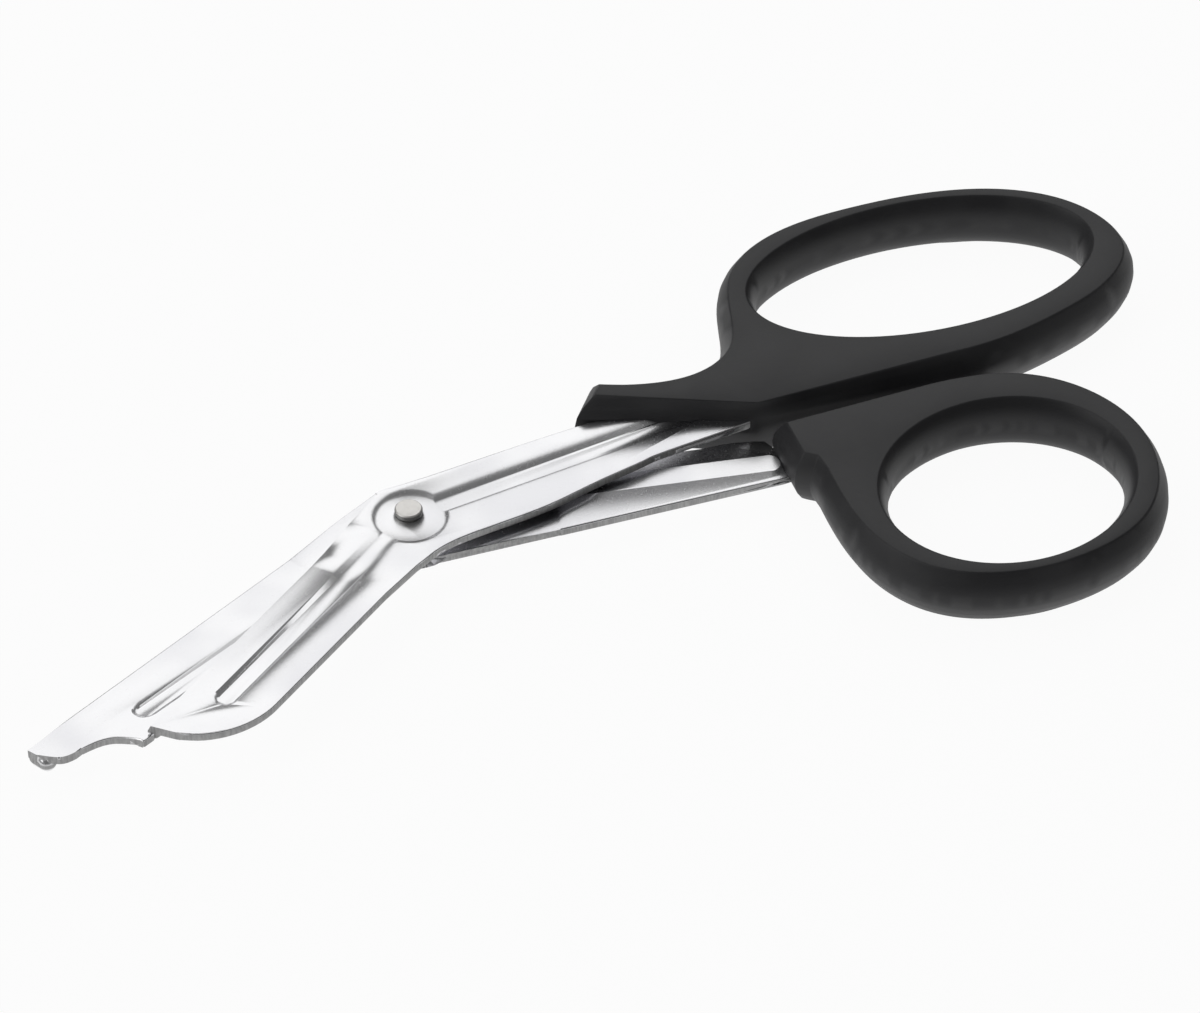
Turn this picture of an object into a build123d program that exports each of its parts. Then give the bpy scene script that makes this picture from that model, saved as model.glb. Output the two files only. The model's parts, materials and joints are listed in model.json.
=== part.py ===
from build123d import *
import math
import os

os.makedirs("parts", exist_ok=True)

# Plan sizes are measured from the rivet, with X along the handles, Y towards the large loop and Z up.
# Both blades are stamped from the same sheet and stacked above the table.
sheet = 1.4
table_gap = 2.2
blade_gap = 1.25
edge_gap = 0.12
overrun = 1.0

# The working part of each blade is twisted about its own axis, so that the cutting edges meet.
edge_offset = 5.75
twist_start = 7.0
twist_run = 10.0
stock_half = 16.0
stock_reach = 100.0

# Pressed channels and the round seat at the rivet
channel_depth = 0.5
channel_half = 1.95
channel_floor_half = 1.2
channel_centre = -0.6
seat_depth = 0.56
seat_radius = 5.9
seat_floor_radius = 4.8
seat_shift = (-0.2, -1.3)
press_spread = 0.58

# Cutting blade: working limb, then shank and tang
cutting_angle = 215.4
cutting_reach = 55.7
cutting_spine = 7.7
cutting_channel_end = 45.6
tip_flat = (54.9, 0.3)
tip_round = (51.3, -4.9)
tip_round_end = 43.5
bevel_width = 0.55
bevel_drop = 1.1
corner_spread = 0.6
corner_run = 14.0
cutting_corner = (-3.6, 5.2)
cutting_heel = (-3.1, -11.8)
shank_upper = [(12.8, 6.7), (29.8, 8.1), (48.0, 8.4)]
shank_lower = [(0.6, -9.7), (9.6, -7.8), (20.2, -6.4), (27.8, -4.5), (35.0, -3.0), (53.5, -0.7)]
shank_channel_angle = 6.6
shank_channel_offset = 1.05
shank_channel_end = 47.0
cutting_tang = [(56.0, 0.4), (77.0, 0.2), (77.0, 3.6), (56.0, 5.2)]

# Foot blade: working limb with the blunt foot, then shank and tang
foot_angle = 204.6
foot_channel_end = 52.4
foot_edge_start = (-3.5, -7.9)
foot_edge_end = (-49.8, -28.9)
foot_spine_corner = (-2.4, 8.0)
foot_shoulder = (-54.6, -17.9)
foot_tip = (-64.9, -23.5)
foot_tip_low = (-64.1, -24.9)
foot_curve = [(-59.9, -27.0), (-56.6, -26.2), (-53.6, -26.2), (-51.3, -27.4)]
foot_shank_upper = [(46.0, -0.7), (49.5, -1.0), (55.2, -2.6)]
foot_shank_lower = [(20.0, -9.5), (54.6, -11.4)]
foot_tang = [(56.6, -11.2), (76.0, -10.9), (76.0, -7.3), (56.6, -6.6)]
foot_bead_start = 24.0
foot_bead_end = 54.0
foot_bead_angle = -11.3
foot_bead_offset = -2.65
serration_pitch = 1.4
serration_depth = 0.35
serration_start = 8.0
serration_end = 50.0

# Turned-down wall and rolled end of the foot
foot_wall = 1.3
foot_wall_length = 11.0
foot_wall_rise = 1.2
foot_roll_radius = 1.35
foot_roll_inset = (0.7, 1.3)
foot_roll_length = 1.6
foot_heel_length = 4.6

# Rivet
rivet_diameter = 3.0
rivet_head_diameter = 4.1
rivet_head_height = 0.9
rivet_tail_diameter = 5.0
rivet_tail_height = 0.8
rivet_rim = 0.2
rivet_clearance = 0.05

# Moulded handles, with bulging side walls between two crisp creases
handle_thickness = 9.8
side_bulge = 1.5
crease = 0.25
low_chamfer = 1.0
wall_levels = 3

# Large loop, measured from the centre of its opening. The nose and its near wall reach back over the
# shank, each point at a share of the opening's distance from the rivet and with its share of the bulge.
finger_hole = (27.8, 15.0)
finger_hole_centre = (90.6, 19.4)
finger_hole_tilt = -2.6
finger_nose_shares = [0.382, 0.475, 0.55]
finger_nose_y = [12.1, 9.0, 9.1]
finger_nose_bulge_shares = [1.3, 0.25, 0.6]
finger_ring = [
    (-35.2, -7.2), (-31.2, 1.8), (-27.5, 9.6), (-18.9, 15.3), (-4.6, 17.1), (10.1, 15.7),
    (23.0, 10.5), (29.9, 2.8), (31.0, -7.3), (25.0, -14.0), (15.1, -18.1), (5.4, -20.3), (-3.6, -20.7),
]
finger_wall_shares = [0.604, 0.497, 0.36]
finger_wall_y = [-0.9, 3.8, 9.7]
finger_wall_bulge_shares = [0.15, 0.25, 1.3]

# Small loop, measured in the same way, with the collar round the foot blade's shank
thumb_hole = (19.6, 17.1)
thumb_hole_centre = (81.7, -29.8)
thumb_hole_tilt = 13.0
thumb_ring = [
    (-1.7, 23.5), (4.8, 22.9), (11.1, 21.1), (18.5, 15.2), (22.9, 4.9), (21.6, -5.8),
    (14.9, -14.8), (3.9, -18.9), (-8.2, -18.4), (-17.9, -13.4), (-22.9, -4.7), (-23.9, 5.8), (-23.5, 11.8),
]
thumb_wall_shares = [0.711, 0.69, 0.695]
thumb_wall_y = [-15.1, -13.7, -6.3]
thumb_wall_bulge_shares = [1.0, 1.0, 1.0]

# Heights that follow
foot_low = table_gap
foot_top = foot_low + sheet
cutting_low = foot_top + blade_gap
cutting_top = cutting_low + sheet
twist_slope = (blade_gap - edge_gap) / 2 / edge_offset


def side(angle):
    """Unit direction across an axis, to its clockwise side."""
    return math.sin(math.radians(angle)), -math.cos(math.radians(angle))


def twist(run):
    """Fall of the sheet for each millimetre across the axis, at a distance from the rivet."""
    return twist_slope * min(max((run - twist_start) / twist_run, 0), 1)


def spot(angle, run, across, height, twisted=True):
    """Point of a blade, from its distance along and across an axis through the rivet."""
    sx, sy = side(angle)
    x = run * math.cos(math.radians(angle)) + across * sx
    y = run * math.sin(math.radians(angle)) + across * sy
    fall = twist(run) * across if twisted else 0
    return Vector(x, y, height - fall)


def ribbon(angle, runs, profile, twisted=True):
    """Solid that carries a profile of (across, height) pairs along an axis."""
    sections = []
    for run in runs:
        corners = [spot(angle, run, across, height, twisted) for across, height in profile]
        sections.append(make_face(Polyline(*corners, close=True)))
    return loft(sections, ruled=True)


def cone_on(angle, run, across, height, low_radius, high_radius, rise, twisted=True):
    """Cone frustum that stands square to the sheet."""
    sx, sy = side(angle)
    fall = twist(run) if twisted else 0
    plane = Plane(origin=spot(angle, run, across, height, twisted), z_dir=(fall * sx, fall * sy, 1))
    frustum = Cone(low_radius, high_radius, rise, align=(Align.CENTER, Align.CENTER, Align.MIN))
    return plane * frustum


def channel(angle, runs, across, bottom, twisted=True, capped_start=False, up=False):
    """Hollow and ridge of a channel that is pressed down, or up, through the sheet."""
    top = bottom + sheet
    spread = (channel_half - channel_floor_half) / channel_depth
    wide = channel_half + spread * overrun
    base = channel_half + press_spread
    floor = channel_floor_half + press_spread
    rib_top = base + (base - floor) / channel_depth * sheet / 2
    if up:
        hollow = (bottom - overrun, wide, bottom + channel_depth, channel_floor_half)
        ridge = (bottom + sheet / 2, rib_top, top + channel_depth, floor)
    else:
        hollow = (top - channel_depth, channel_floor_half, top + overrun, wide)
        ridge = (bottom - channel_depth, floor, bottom + sheet / 2, rib_top)
    solids = []
    for low, low_half, high, high_half in (hollow, ridge):
        profile = [
            (across - low_half, low), (across + low_half, low),
            (across + high_half, high), (across - high_half, high),
        ]
        solid = ribbon(angle, runs, profile, twisted)
        ends = [runs[-1]] + ([runs[0]] if capped_start else [])
        for run in ends:
            solid += cone_on(angle, run, across, low, low_half, high_half, high - low, twisted)
        solids.append(solid)
    return solids


def seat(bottom, up=False):
    """Hollow and boss of the round seat at the rivet."""
    top = bottom + sheet
    slope = (seat_radius - seat_floor_radius) / seat_depth
    wide = seat_radius + slope * overrun
    base = seat_radius + press_spread
    floor = seat_floor_radius + press_spread
    boss_top = base + slope * sheet / 2
    if up:
        hollow = (bottom - overrun, wide, bottom + seat_depth, seat_floor_radius)
        boss = (bottom + sheet / 2, boss_top, top + seat_depth, floor)
    else:
        hollow = (top - seat_depth, seat_floor_radius, top + overrun, wide)
        boss = (bottom - seat_depth, floor, bottom + sheet / 2, boss_top)
    solids = []
    for low, low_radius, high, high_radius in (hollow, boss):
        frustum = Cone(low_radius, high_radius, high - low, align=(Align.CENTER, Align.CENTER, Align.MIN))
        solids.append(Pos(*seat_shift, low) * frustum)
    return solids


def stock(angle, bottom):
    """Sheet before its outline is cut: flat round the rivet, twisted along the working limb."""
    flat = [(-stock_reach, bottom), (stock_reach, bottom)]
    flat += [(stock_reach, bottom + sheet), (-stock_reach, bottom + sheet)]
    limb = [(-stock_half, bottom), (stock_half, bottom)]
    limb += [(stock_half, bottom + sheet), (-stock_half, bottom + sheet)]
    plate = ribbon(angle, [-stock_reach, twist_start], flat, twisted=False)
    return plate + ribbon(angle, [twist_start, twist_start + twist_run, stock_reach], limb)


def cutting_outline():
    """Plan of the cutting blade with its tang."""
    def tip(run, across):
        point = spot(cutting_angle, run, across, 0, twisted=False)
        return point.X, point.Y
    heel = tip(cutting_reach, edge_offset)
    flat_end = tip(*tip_flat)
    round_end = tip(tip_round_end, -cutting_spine)
    edges = [
        Polyline(cutting_corner, tip(corner_run, edge_offset), heel, flat_end),
        ThreePointArc(flat_end, tip(*tip_round), round_end),
        Line(round_end, cutting_heel),
        Spline(cutting_heel, *shank_lower, tangents=[(1, 0.6), (1, 0.1)]),
        Polyline(shank_lower[-1], *cutting_tang, shank_upper[-1]),
        Spline(cutting_corner, *shank_upper),
    ]
    return make_face(edges)


def foot_outline():
    """Plan of the foot blade with its tang."""
    edges = [
        Line(foot_edge_start, foot_edge_end),
        Spline(foot_edge_end, *reversed(foot_curve), foot_tip_low, tangents=[(-0.4, 1), (-1, 0.8)]),
        Polyline(foot_tip_low, foot_tip, foot_shoulder, foot_spine_corner, foot_shank_upper[0]),
        Spline(*foot_shank_upper),
        Polyline(foot_shank_upper[-1], *reversed(foot_tang), foot_shank_lower[-1]),
        Polyline(foot_shank_lower[-1], foot_shank_lower[0], foot_edge_start),
    ]
    return make_face(edges)


def cut_blank(outline, angle, bottom):
    """Sheet cut to its outline."""
    prism = extrude(Pos(0, 0, -overrun) * outline, amount=handle_thickness + overrun)
    return stock(angle, bottom) & prism


def cutting_bevel():
    """Waste above the ground edge of the cutting blade, which follows the outline out to its corner."""
    sections = []
    for run in (-overrun, twist_start, corner_run, twist_start + twist_run, cutting_reach + overrun):
        edge = edge_offset + corner_spread * min(max(1 - run / corner_run, 0), 1)
        bevel = [
            (edge - bevel_width, cutting_top), (edge, cutting_top - bevel_drop),
            (edge + overrun, cutting_top - bevel_drop), (edge + overrun, cutting_top + overrun),
            (edge - bevel_width, cutting_top + overrun),
        ]
        corners = [spot(cutting_angle, run, across, height) for across, height in bevel]
        sections.append(make_face(Polyline(*corners, close=True)))
    return loft(sections, ruled=True)


def cutting_blade():
    """Upper blade with its channels pressed down and its outer face ground to the edge."""
    blade = cut_blank(cutting_outline(), cutting_angle, cutting_low)
    limb_runs = [0, twist_start, twist_start + twist_run, cutting_channel_end]
    limb = channel(cutting_angle, limb_runs, channel_centre, cutting_low)
    shank_runs = [0, shank_channel_end]
    shank = channel(shank_channel_angle, shank_runs, shank_channel_offset, cutting_low, twisted=False)
    dish = seat(cutting_low)
    for hollow, ridge in (limb, shank, dish):
        blade += ridge
    for hollow, ridge in (limb, shank, dish):
        blade -= hollow
    blade -= cutting_bevel()
    bore = Cylinder(rivet_diameter / 2 + rivet_clearance, 2 * handle_thickness)
    return blade - bore


def foot_wall_solid():
    """Wall that the spine side of the foot is turned down into, with the rolled blunt end."""
    tip = Vector(*foot_tip)
    back = (Vector(*foot_shoulder) - tip).normalized()
    inward = Vector(back.Y, -back.X)
    plane = Plane(origin=tip + inward * foot_wall, x_dir=back, z_dir=-inward)
    sign = 1 if plane.y_dir.Z > 0 else -1
    roof = foot_top - sheet / 2
    start = foot_roll_radius
    profile = Polyline(
        (start, 0), (foot_heel_length, 0), (foot_wall_length, sign * foot_wall_rise),
        (foot_wall_length + foot_wall_rise, sign * (foot_low - sheet / 2)),
        (foot_wall_length, sign * (foot_low + twist_slope)), (start, sign * (foot_low + twist_slope / 2)),
        close=True,
    )
    wall = extrude(plane * make_face(profile), amount=foot_wall)
    set_in = inward * foot_roll_inset[0] + back * foot_roll_inset[1]
    axis_start = tip + set_in + Vector(0, 0, foot_roll_radius)
    rod = Plane(origin=axis_start, z_dir=inward) * Cylinder(
        foot_roll_radius, foot_roll_length, align=(Align.CENTER, Align.CENTER, Align.MIN)
    )
    axis_end = axis_start + inward * foot_roll_length
    ends = Pos(axis_start) * Sphere(foot_roll_radius) + Pos(axis_end) * Sphere(foot_roll_radius)
    return wall + rod + ends


def serrations():
    """Row of fine notches across the foot blade's cutting edge."""
    start = Vector(*foot_edge_start)
    along = (Vector(*foot_edge_end) - start).normalized()
    inward = Vector(-along.Y, along.X)
    if inward.Y < 0:
        inward = -inward
    notches = []
    count = int((serration_end - serration_start) / serration_pitch)
    for index in range(count):
        root = start + along * (serration_start + index * serration_pitch) + inward * serration_depth
        mouth = serration_pitch / 2
        corners = [
            root, root + along * mouth - inward * serration_pitch, root - along * mouth - inward * serration_pitch,
        ]
        face = make_face(Polyline(*[(c.X, c.Y) for c in corners], close=True))
        notches.append(extrude(face, amount=handle_thickness))
    return notches


def foot_blade():
    """Lower blade with the foot, its limb channel pressed down and its shank bead raised."""
    blade = cut_blank(foot_outline(), foot_angle, foot_low)
    limb_runs = [0, twist_start, twist_start + twist_run, foot_channel_end]
    limb = channel(foot_angle, limb_runs, channel_centre, foot_low)
    bead_runs = [foot_bead_start, foot_bead_end]
    bead = channel(foot_bead_angle, bead_runs, foot_bead_offset, foot_low, twisted=False,
                   capped_start=True, up=True)
    dish = seat(foot_low, up=True)
    blade += foot_wall_solid()
    for hollow, ridge in (limb, bead, dish):
        blade += ridge
    for hollow, ridge in (limb, bead, dish):
        blade -= hollow
    bevel = [
        (-edge_offset + bevel_width, foot_low), (-edge_offset, foot_low + bevel_drop),
        (-edge_offset - overrun, foot_low + bevel_drop), (-edge_offset - overrun, foot_low - overrun),
        (-edge_offset + bevel_width, foot_low - overrun),
    ]
    blade -= ribbon(foot_angle, [twist_start, twist_start + twist_run, serration_end], bevel)
    blade -= serrations()
    return blade - Cylinder(rivet_diameter / 2, 2 * handle_thickness)


def rivet():
    """Pivot rivet with a flat head and a peened tail, revolved."""
    head_low = cutting_top - seat_depth + rivet_clearance
    head_top = head_low + rivet_head_height
    tail_top = foot_low + seat_depth
    tail_low = tail_top - rivet_tail_height
    head = rivet_head_diameter / 2
    tail = rivet_tail_diameter / 2
    pin = rivet_diameter / 2
    slope = rivet_tail_height / 2
    section = Polyline(
        (0, head_top), (head - rivet_rim, head_top), (head, head_top - rivet_rim), (head, head_low),
        (pin, head_low), (pin, tail_top), (tail, tail_top), (tail, tail_top - slope),
        (tail - slope, tail_low), (0, tail_low),
        close=True,
    )
    return revolve(Plane.XZ * make_face(section), axis=Axis.Z)


def swollen(points, bulge):
    """Points of a closed outline moved outwards by their share of the bulge."""
    moved = []
    for index, (x, y, share) in enumerate(points):
        before = points[index - 1]
        after = points[(index + 1) % len(points)]
        lead = Vector(x - before[0], y - before[1]).normalized()
        trail = Vector(after[0] - x, after[1] - y).normalized()
        lead_out = Vector(-lead.Y, lead.X)
        out = (lead_out + Vector(-trail.Y, trail.X)).normalized()
        step = bulge * share / out.dot(lead_out)
        moved.append((x + out.X * step, y + out.Y * step))
    return moved


def wall_profile():
    """Heights and outward offsets of the barrel-shaped side wall, from the bottom face up."""
    reach = handle_thickness - crease - low_chamfer
    steps = [index / wall_levels for index in range(-wall_levels, wall_levels + 1)]
    levels = [(low_chamfer + reach * (1 + step) / 2, side_bulge * (1 - step * step)) for step in steps]
    return [(0, -low_chamfer)] + levels + [(handle_thickness, -crease)]


def near_points(shares, across, bulge_shares, centre):
    """Points between the rivet and a loop, each with its share of the bulge."""
    return [(share * centre[0], y, bulge) for share, y, bulge in zip(shares, across, bulge_shares)]


def ring_points(ring, centre):
    """Points of a loop about the centre of its opening, each with the whole bulge."""
    return [(centre[0] + x, centre[1] + y, 1) for x, y in ring]


def handle(curve, corners, hole, centre, tilt):
    """Moulded loop: barrel-walled outline with a barrel-walled oval opening."""
    points = curve + corners
    sections = []
    openings = []
    for height, grow in wall_profile():
        placed = swollen(points, grow)
        ring = placed[:len(curve)]
        edges = [Spline(*ring), Polyline(ring[-1], *placed[len(curve):], ring[0])]
        sections.append(Pos(0, 0, height) * make_face(edges))
        oval = Ellipse(hole[0] - grow, hole[1] - grow, rotation=tilt)
        openings.append(Pos(*centre, height) * oval)
    return loft(sections, ruled=True) - loft(openings, ruled=True)


def finger_handle(blade):
    """Large loop, moulded round the tang of the cutting blade."""
    centre = finger_hole_centre
    nose = near_points(finger_nose_shares, finger_nose_y, finger_nose_bulge_shares, centre)
    wall = near_points(finger_wall_shares, finger_wall_y, finger_wall_bulge_shares, centre)
    curve = nose + ring_points(finger_ring, centre)
    return handle(curve, wall, finger_hole, centre, finger_hole_tilt) - blade


def thumb_handle(blade):
    """Small loop, moulded round the tang of the foot blade."""
    centre = thumb_hole_centre
    wall = near_points(thumb_wall_shares, thumb_wall_y, thumb_wall_bulge_shares, centre)
    return handle(ring_points(thumb_ring, centre), wall, thumb_hole, centre, thumb_hole_tilt) - blade


upper = cutting_blade()
lower = foot_blade()
parts = {
    "cutting_blade": upper,
    "foot_blade": lower,
    "finger_handle": finger_handle(upper),
    "thumb_handle": thumb_handle(lower),
    "rivet": rivet(),
}
box = Compound(children=[Compound(part.solids()) for part in parts.values()]).bounding_box()
home = Pos(-(box.min.X + box.max.X) / 2, -(box.min.Y + box.max.Y) / 2, -box.min.Z)
print("size", box.size, "rivet at", home.position)
for name, part in parts.items():
    solids = part.solids()
    print(name, len(solids), [round(solid.volume, 2) for solid in solids])
    export_step(home * (solids[0] if len(solids) == 1 else Compound(solids)), f"parts/{name}.step")
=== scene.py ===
import json
import math

import bmesh
import bpy
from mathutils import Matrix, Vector


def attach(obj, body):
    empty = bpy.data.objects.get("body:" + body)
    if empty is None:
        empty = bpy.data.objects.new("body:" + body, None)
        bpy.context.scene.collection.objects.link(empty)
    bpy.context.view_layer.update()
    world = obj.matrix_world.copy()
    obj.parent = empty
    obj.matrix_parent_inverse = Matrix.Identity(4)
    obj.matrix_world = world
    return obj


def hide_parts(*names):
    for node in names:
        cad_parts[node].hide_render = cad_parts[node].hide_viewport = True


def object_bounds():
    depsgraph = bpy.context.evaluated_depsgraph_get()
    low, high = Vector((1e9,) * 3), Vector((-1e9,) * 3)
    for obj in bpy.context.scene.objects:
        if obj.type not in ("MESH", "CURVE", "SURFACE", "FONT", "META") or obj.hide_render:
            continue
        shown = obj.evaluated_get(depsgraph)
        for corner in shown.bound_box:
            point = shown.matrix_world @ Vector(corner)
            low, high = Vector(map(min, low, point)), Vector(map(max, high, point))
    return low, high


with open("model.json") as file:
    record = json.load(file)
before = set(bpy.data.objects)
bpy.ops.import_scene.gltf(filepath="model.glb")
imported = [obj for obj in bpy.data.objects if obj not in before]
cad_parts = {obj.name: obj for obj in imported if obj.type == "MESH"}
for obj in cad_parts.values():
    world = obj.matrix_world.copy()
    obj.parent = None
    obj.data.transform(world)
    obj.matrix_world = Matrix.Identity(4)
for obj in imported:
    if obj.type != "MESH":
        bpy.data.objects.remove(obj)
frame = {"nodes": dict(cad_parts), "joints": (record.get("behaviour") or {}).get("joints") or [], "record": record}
cad_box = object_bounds()

# Camera: a long lens that looks down on the scissors as they lie flat, from beside the thumb loop.
# Its place follows from the height of the view, the turn of the handles in it and the rivet's place.
VIEW_ELEVATION = math.radians(42.0)
HANDLE_TURN = math.radians(22.0)
VIEW_DISTANCE = 0.700
LENS_MM = 142.8
SENSOR_MM = 36.0
AIM_FROM_RIVET = Vector((0.0286, -0.0033, 0))

pivot = frame["joints"][0]["pos_m"]
aim = Vector((pivot[0], pivot[1], 0)) + AIM_FROM_RIVET
away = Vector((
    math.sin(HANDLE_TURN) * math.cos(VIEW_ELEVATION),
    math.cos(HANDLE_TURN) * math.cos(VIEW_ELEVATION),
    -math.sin(VIEW_ELEVATION),
))
camera = bpy.data.objects.new("camera", bpy.data.cameras.new("camera"))
bpy.context.scene.collection.objects.link(camera)
camera.data.lens = LENS_MM
camera.data.sensor_width = SENSOR_MM
camera.location = aim - away * VIEW_DISTANCE
camera.rotation_euler = away.to_track_quat("-Z", "Y").to_euler()
bpy.context.scene.camera = camera
bpy.context.scene.view_settings.view_transform = "Standard"


# Blades: pressed from stainless sheet, given a fine satin finish on both faces. The sheared sides of
# the sheet are left rough, with a small roll-over where the tool went in; their dark grey is partly
# their own and partly painted shade, given by which way a face looks. The ground edge of one blade
# and the serrated edge of the other stay sharp.
STEEL = (0.80, 0.80, 0.81, 1)
STEEL_DULL = (0.70, 0.70, 0.72, 1)
STEEL_DULL_SHARE = (0.35, 0.65)
STEEL_CLOUD_SCALE = 60.0
SATIN_SCALE = 2600.0
SATIN_STRENGTH = 0.12
SATIN_DEPTH = 0.00003
# Sheared-side greys: partly the rough sheared steel's own colour, partly painted shade.
SHEARED_SHADE = (0.30, 0.30, 0.30, 1)
SHEARED_PALE_SHADE = (0.42, 0.42, 0.42, 1)
SHEARED_PALE_SHARE = (0.3, 0.7)
TEAR_SCALE = 3600.0
TEAR_STRETCH = (1.0, 1.0, 0.12)
SHEET_TILT = (0.15, 0.4)
SHEARED_ROUGHNESS = 0.5
SATIN_SMOOTHER = 0.28
SATIN_UNEVEN = 0.08

WELD = 0.000002
CROWDED = 0.00007
SHEET_FLATNESS = math.radians(0.3)
SHEARED_CORNER = math.radians(50)
PRESSED_BEND = math.radians(22)
ROLL_OVER = 0.00026
ROLL_OVER_STEPS = 3
EDGE_ZONE = 0.0046
CUTTING_ANGLE = math.radians(215.4)
CUTTING_START = -0.002
FOOT_ANGLE = math.radians(204.6)
SERRATED_START = 0.003
SERRATED_REACH = 0.052
FOOT_TIP_REACH = 0.0645


class Sum:
    """Shader socket that takes part in Python expressions."""

    def __init__(self, tree, socket):
        self.tree = tree
        self.socket = socket

    def node(self, kind, settings=None, **values):
        """Adds a node, sets its options first, then its sockets by name, or by number as _0, _1."""
        made = self.tree.nodes.new(kind)
        for option, value in (settings or {}).items():
            setattr(made, option, value)
        for name, value in values.items():
            numbered = name[0] == "_" and name[1:].isdigit()
            socket = made.inputs[int(name[1:]) if numbered else name]
            if isinstance(value, Sum):
                self.tree.links.new(value.socket, socket)
            else:
                socket.default_value = value
        return made

    def out(self, made, name=0):
        return Sum(self.tree, made.outputs[name])

    def maths(self, operation, *terms):
        values = {f"_{number}": term for number, term in enumerate(terms)}
        return self.out(self.node("ShaderNodeMath", {"operation": operation}, **values))

    def __add__(self, other):
        return self.maths("ADD", self, other)

    def __radd__(self, other):
        return self.maths("ADD", other, self)

    def __sub__(self, other):
        return self.maths("SUBTRACT", self, other)

    def __rsub__(self, other):
        return self.maths("SUBTRACT", other, self)

    def __mul__(self, other):
        return self.maths("MULTIPLY", self, other)

    def __rmul__(self, other):
        return self.maths("MULTIPLY", other, self)

    def clamp(self, low, high):
        """0 below low, 1 above high, smooth between."""
        made = self.node(
            "ShaderNodeMapRange", {"interpolation_type": "SMOOTHSTEP"},
            _0=self, _1=low, _2=high, _3=0.0, _4=1.0,
        )
        return self.out(made)

    def blend(self, low_colour, high_colour):
        """Colour between two, by this value."""
        made = self.node("ShaderNodeMix", {"data_type": "RGBA"}, _0=self, _6=low_colour, _7=high_colour)
        return self.out(made, 2)


def new_material(name):
    """Material with one Principled shader: returns it, the shader and a starting point for sums."""
    made = bpy.data.materials.new(name)
    made.use_nodes = True
    tree = made.node_tree
    return made, tree.nodes["Principled BSDF"], Sum(tree, None)


def feed(shader, name, value):
    value.tree.links.new(value.socket, shader.inputs[name])


def noise(start, place, scale, detail, roughness=0.5):
    return start.out(start.node(
        "ShaderNodeTexNoise", Vector=place, Scale=scale, Detail=detail, Roughness=roughness,
    ))


def faces_up(start, low, high):
    """0 on upright sides, 1 on faces that look up or down."""
    facing = start.out(start.node("ShaderNodeNewGeometry"), "Normal")
    upright = start.out(start.node("ShaderNodeSeparateXYZ", Vector=facing), 2)
    return start.maths("ABSOLUTE", upright).clamp(low, high)


def body_of(node):
    return next(body for body, nodes in frame["record"]["behaviour"]["bodies"].items() if node in nodes)


def eased_copy(node, material, width, segments, flatness, corner, bend, kept_sharp=lambda point: False):
    """Merged copy of a CAD node with its corners rounded, except where kept_sharp says not to."""
    bpy.ops.object.select_all(action="DESELECT")
    source = frame["nodes"][node]
    source.select_set(True)
    bpy.context.view_layer.objects.active = source
    bpy.ops.object.duplicate()
    piece = bpy.context.view_layer.objects.active
    piece.parent = None
    piece.name = node + "_finished"
    bpy.ops.object.mode_set(mode="EDIT")
    bpy.ops.mesh.select_all(action="SELECT")
    bpy.ops.mesh.remove_doubles(threshold=WELD)
    bpy.ops.mesh.dissolve_limited(angle_limit=flatness)
    bpy.ops.object.mode_set(mode="OBJECT")
    shape = bmesh.new()
    shape.from_mesh(piece.data)
    weights = shape.edges.layers.float.new("bevel_weight_edge")
    crowded = {point for edge in shape.edges if edge.calc_length() < CROWDED for point in edge.verts}
    for edge in shape.edges:
        sharp = len(edge.link_faces) == 2 and edge.calc_face_angle(0) > corner
        kept = any(point in crowded or kept_sharp(point.co) for point in edge.verts)
        if sharp and not kept:
            edge[weights] = 1.0
    shape.to_mesh(piece.data)
    shape.free()
    rounding = piece.modifiers.new("rounded edges", "BEVEL")
    rounding.width = width
    rounding.segments = segments
    rounding.limit_method = "WEIGHT"
    rounding.use_clamp_overlap = False
    bpy.ops.object.modifier_apply(modifier=rounding.name)
    bpy.ops.object.shade_smooth_by_angle(angle=bend)
    piece.data.materials.clear()
    piece.data.materials.append(material)
    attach(piece, body_of(node))
    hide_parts(node)
    return piece


def along_and_across(point, angle):
    """Distance from the rivet along a blade's axis, and to its clockwise side."""
    x = point.x - pivot[0]
    y = point.y - pivot[1]
    along = x * math.cos(angle) + y * math.sin(angle)
    return along, x * math.sin(angle) - y * math.cos(angle)


def on_cutting_edge(point):
    along, across = along_and_across(point, CUTTING_ANGLE)
    return along > CUTTING_START and across > EDGE_ZONE


def on_serrated_edge(point):
    along, across = along_and_across(point, FOOT_ANGLE)
    return along > FOOT_TIP_REACH or (SERRATED_START < along < SERRATED_REACH and across < -EDGE_ZONE)


steel, shader, start = new_material("satin steel")
place = start.out(start.node("ShaderNodeTexCoord"), "Object")
flat = faces_up(start, *SHEET_TILT)
grain = noise(start, place, SATIN_SCALE, detail=3.0, roughness=0.6)
cloud = noise(start, place, STEEL_CLOUD_SCALE, detail=2.0)
sheen = cloud.clamp(*STEEL_DULL_SHARE).blend(STEEL_DULL, STEEL)
stretched = start.out(start.node("ShaderNodeMapping", Vector=place, Scale=TEAR_STRETCH))
torn = noise(start, stretched, TEAR_SCALE, detail=3.0)
# Upright faces get a dark grey with torn streaks: partly the sheared sides' own colour, partly painted shade.
sheared_shaded_side = torn.clamp(*SHEARED_PALE_SHARE).blend(SHEARED_SHADE, SHEARED_PALE_SHADE)
feed(shader, "Base Color", flat.blend(sheared_shaded_side, sheen))
feed(shader, "Roughness", SHEARED_ROUGHNESS - flat * SATIN_SMOOTHER + grain * SATIN_UNEVEN)
bump = start.node("ShaderNodeBump", Strength=SATIN_STRENGTH, Distance=SATIN_DEPTH, Height=grain)
feed(shader, "Normal", start.out(bump))
shader.inputs["Metallic"].default_value = 1.0

for node, kept_sharp in (("cutting_blade", on_cutting_edge), ("foot_blade", on_serrated_edge)):
    piece = eased_copy(
        node, steel, width=ROLL_OVER, segments=ROLL_OVER_STEPS, flatness=SHEET_FLATNESS,
        corner=SHEARED_CORNER, bend=PRESSED_BEND, kept_sharp=kept_sharp,
    )
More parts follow.
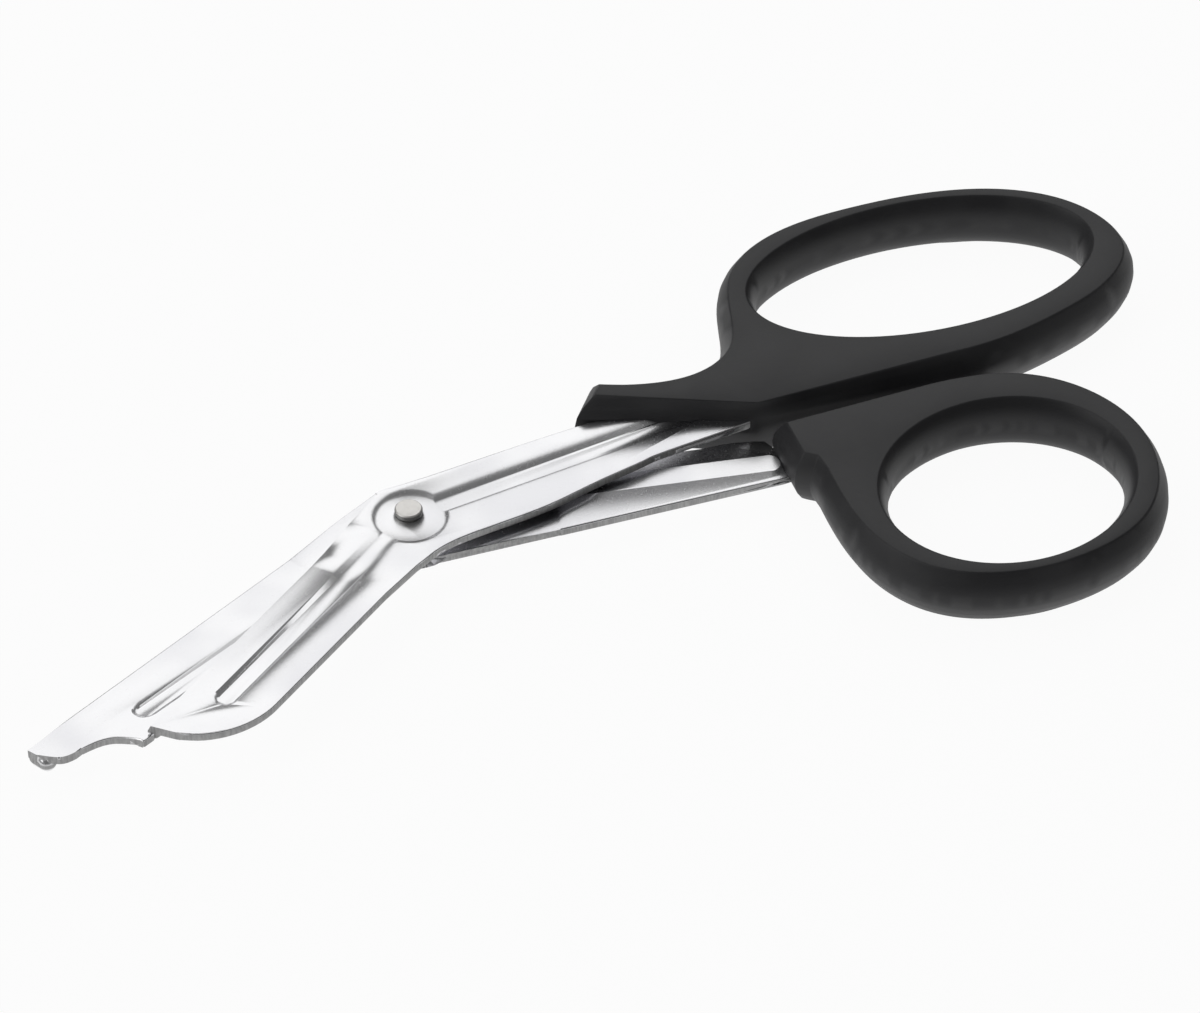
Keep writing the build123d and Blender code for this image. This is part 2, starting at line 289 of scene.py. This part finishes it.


# Rivet: one piece of soft steel through both blades, its flat head dull and slightly brown in the
# dish of the upper blade, its tail peened over under the lower one. Faces that look up are painted
# paler, painted light, and its upright sides darker, painted shade.
# Top colour made paler as painted light, side colour darker as painted shade; the slight brown tint is its own.
RIVET_TOP_LIT = (0.76, 0.745, 0.72, 1)
RIVET_SIDE_SHADED = (0.34, 0.34, 0.33, 1)
RIVET_TILT = (0.3, 0.7)
PIT_SCALE = 1500.0
PIT_STRENGTH = 0.3
PIT_DEPTH = 0.00005
RIVET_ROUGHNESS = 0.35
PIT_ROUGHER = 0.25
RIM_EASE = 0.00006
RIM_STEPS = 2
TURNED_FLATNESS = math.radians(0.02)
RIM_CORNER = math.radians(40)
RIM_BEND = math.radians(30)

dull, shader, start = new_material("rivet steel")
place = start.out(start.node("ShaderNodeTexCoord"), "Object")
pits = noise(start, place, PIT_SCALE, detail=2.0, roughness=0.6)
# Up-facing faces take the painted-light top colour, upright sides the painted-shade side colour.
feed(shader, "Base Color", faces_up(start, *RIVET_TILT).blend(RIVET_SIDE_SHADED, RIVET_TOP_LIT))
feed(shader, "Roughness", RIVET_ROUGHNESS + pits * PIT_ROUGHER)
bump = start.node("ShaderNodeBump", Strength=PIT_STRENGTH, Distance=PIT_DEPTH, Height=pits)
feed(shader, "Normal", start.out(bump))
shader.inputs["Metallic"].default_value = 1.0
piece = eased_copy(
    "rivet", dull, width=RIM_EASE, segments=RIM_STEPS, flatness=TURNED_FLATNESS,
    corner=RIM_CORNER, bend=RIM_BEND,
)


# Handles: black plastic moulded round the blades' tangs, with a fine matt grain from the mould and
# crisp creases round the flat faces.
PLASTIC = (0.020, 0.020, 0.022, 1)
PLASTIC_WORN = (0.030, 0.030, 0.032, 1)
PLASTIC_WORN_SHARE = (0.4, 0.7)
PLASTIC_CLOUD_SCALE = 90.0
PLASTIC_ROUGHNESS = 0.44
PLASTIC_UNEVEN = 0.12
PLASTIC_SHINE = 0.45
MOULD_SCALE = 3200.0
MOULD_STRENGTH = 0.25
MOULD_DEPTH = 0.00004
CREASE_EASE = 0.00012
CREASE_STEPS = 2
MOULDED_FLATNESS = math.radians(0.02)
CREASE_CORNER = math.radians(32)
CREASE_BEND = math.radians(30)

plastic, shader, start = new_material("black plastic")
place = start.out(start.node("ShaderNodeTexCoord"), "Object")
grain = noise(start, place, MOULD_SCALE, detail=2.0)
cloud = noise(start, place, PLASTIC_CLOUD_SCALE, detail=3.0)
feed(shader, "Base Color", cloud.clamp(*PLASTIC_WORN_SHARE).blend(PLASTIC, PLASTIC_WORN))
feed(shader, "Roughness", PLASTIC_ROUGHNESS + cloud * PLASTIC_UNEVEN)
bump = start.node("ShaderNodeBump", Strength=MOULD_STRENGTH, Distance=MOULD_DEPTH, Height=grain)
feed(shader, "Normal", start.out(bump))
shader.inputs["Specular IOR Level"].default_value = PLASTIC_SHINE

for node in ("finger_handle", "thumb_handle"):
    piece = eased_copy(
        node, plastic, width=CREASE_EASE, segments=CREASE_STEPS, flatness=MOULDED_FLATNESS,
        corner=CREASE_CORNER, bend=CREASE_BEND,
    )


# Table: a plain pale sheet that the scissors lie on. The camera sees it nearly lit by itself, so that
# it stays white and keeps a faint shadow.
TABLE_HALF = 3.0
TABLE_DROP = 0.0001
TABLE_PALE = (0.92, 0.92, 0.92, 1)
TABLE_SELF_LIT = 0.95

bpy.ops.object.select_all(action="DESELECT")
bpy.ops.mesh.primitive_plane_add(size=2 * TABLE_HALF, location=(0, 0, cad_box[0][2] - TABLE_DROP))
table = bpy.context.view_layer.objects.active
table.name = "table"
white = bpy.data.materials.new("white table")
white.use_nodes = True
white.node_tree.nodes.clear()
start = Sum(white.node_tree, None)
path = start.node("ShaderNodeLightPath")
seen = (
    start.out(path, "Is Camera Ray")
    + start.out(path, "Is Glossy Ray")
    + start.out(path, "Is Transmission Ray")
)
matt = start.node("ShaderNodeBsdfDiffuse", Color=TABLE_PALE)
glow = start.node("ShaderNodeEmission", Color=(1, 1, 1, 1), Strength=1.0)
share = start.maths("MINIMUM", seen, 1.0) * TABLE_SELF_LIT
mixed = start.node("ShaderNodeMixShader", _0=share, _1=start.out(matt), _2=start.out(glow))
start.node("ShaderNodeOutputMaterial", Surface=start.out(mixed))
table.data.materials.append(white)


# Light: a soft light above and behind the scissors, which the flat steel mirrors into the lens, a
# weaker one from the left, and a dim grey room, which the pressed walls mirror.
ROOM_LIGHT = 0.16


def soft_light(name, toward, distance, size, power):
    """Square lamp that shines on the scissors from a direction."""
    lamp = bpy.data.objects.new(name, bpy.data.lights.new(name, "AREA"))
    bpy.context.scene.collection.objects.link(lamp)
    lamp.data.shape = "SQUARE"
    lamp.data.size = size
    lamp.data.energy = power
    lamp.location = Vector(toward).normalized() * distance
    lamp.rotation_euler = Vector(toward).to_track_quat("Z", "Y").to_euler()


soft_light("back softbox", toward=(0.24, 0.72, 0.70), distance=1.6, size=1.5, power=7.6)
soft_light("left softbox", toward=(-1.0, 0.1, 0.8), distance=1.8, size=1.4, power=9)

world = bpy.data.worlds.new("room")
bpy.context.scene.world = world
world.use_nodes = True
world.node_tree.nodes["Background"].inputs["Color"].default_value = (1, 1, 1, 1)
world.node_tree.nodes["Background"].inputs["Strength"].default_value = ROOM_LIGHT
